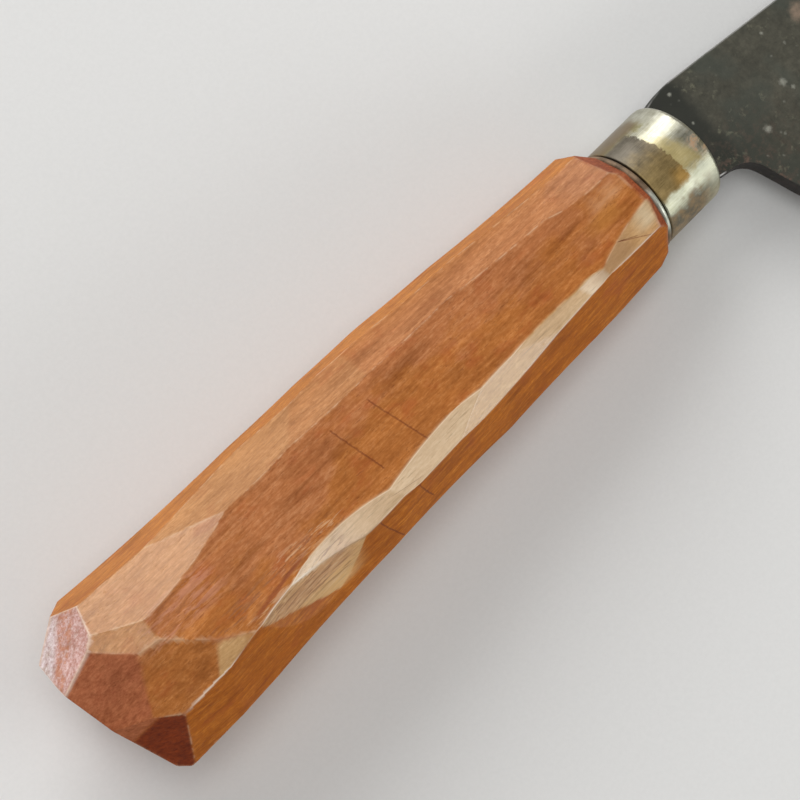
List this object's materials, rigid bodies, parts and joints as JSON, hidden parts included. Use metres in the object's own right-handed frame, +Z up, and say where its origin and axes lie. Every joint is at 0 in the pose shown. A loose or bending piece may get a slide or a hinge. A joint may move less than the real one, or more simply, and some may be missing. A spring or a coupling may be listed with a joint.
{
  "type": "kitchen knife",
  "caption": "Kitchen knife with a dark forged blade, a worn tube ferrule and a tapered wooden handle carved with long facets, for cutting food by hand.",
  "frame": {"origin": "on the surface the knife lies on, under the middle of its box", "axes": "+X from the handle's butt to the tip, +Y from the edge to the spine, +Z up out of the flat that shows"},
  "size_m": [0.3204, 0.0582, 0.0304],
  "materials": {
    "forged_steel": "black forge scale, with a ground bevel",
    "carved_wood": "knife-cut and oiled",
    "ferrule_metal": "worn and tarnished",
    "ring_metal": "worn bright",
    "bedding_resin": "set dark resin"
  },
  "bodies": {
    "root": {"blade": "forged_steel", "handle": "carved_wood", "ferrule": "ferrule_metal", "back_ring": "ring_metal", "tang_bedding": "bedding_resin"}
  },
  "joints": []
}
